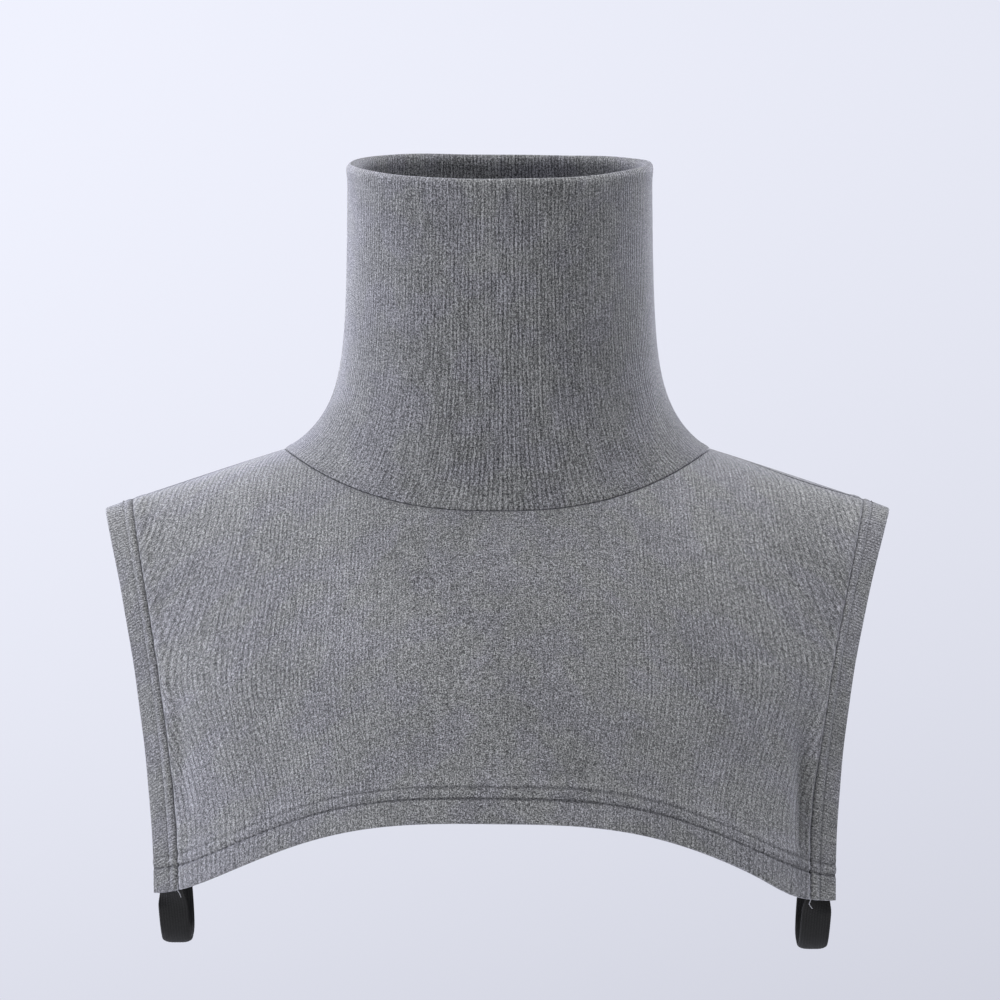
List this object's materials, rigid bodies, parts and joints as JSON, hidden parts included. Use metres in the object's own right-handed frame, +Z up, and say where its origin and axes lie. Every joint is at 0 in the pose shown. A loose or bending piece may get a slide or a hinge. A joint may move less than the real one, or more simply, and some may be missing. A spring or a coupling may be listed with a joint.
{
  "type": "turtleneck dickey",
  "caption": "Turtleneck dickey in heather grey knit: a tall doubled collar on a short front and back bib, with slack black elastic loops joining the bibs under the arms.",
  "frame": {"origin": "The middle of the neck opening, level with the tops of the shoulder seams, where the dickey sits round the base of a neck.", "axes": "+Z up, +X to the right as seen from the front, +Y towards the back. The front of the dickey faces -Y. Millimetres in the source, metres in the record."},
  "size_m": [0.349, 0.2107, 0.3542],
  "materials": {
    "grey_knit": "matte heather grey fine rib knit, slightly fuzzy",
    "black_elastic": "matt black woven elastic tape"
  },
  "bodies": {
    "root": {"collar": "grey_knit", "front_bib": "grey_knit", "back_bib": "grey_knit", "right_strap": "black_elastic", "left_strap": "black_elastic"}
  },
  "joints": []
}
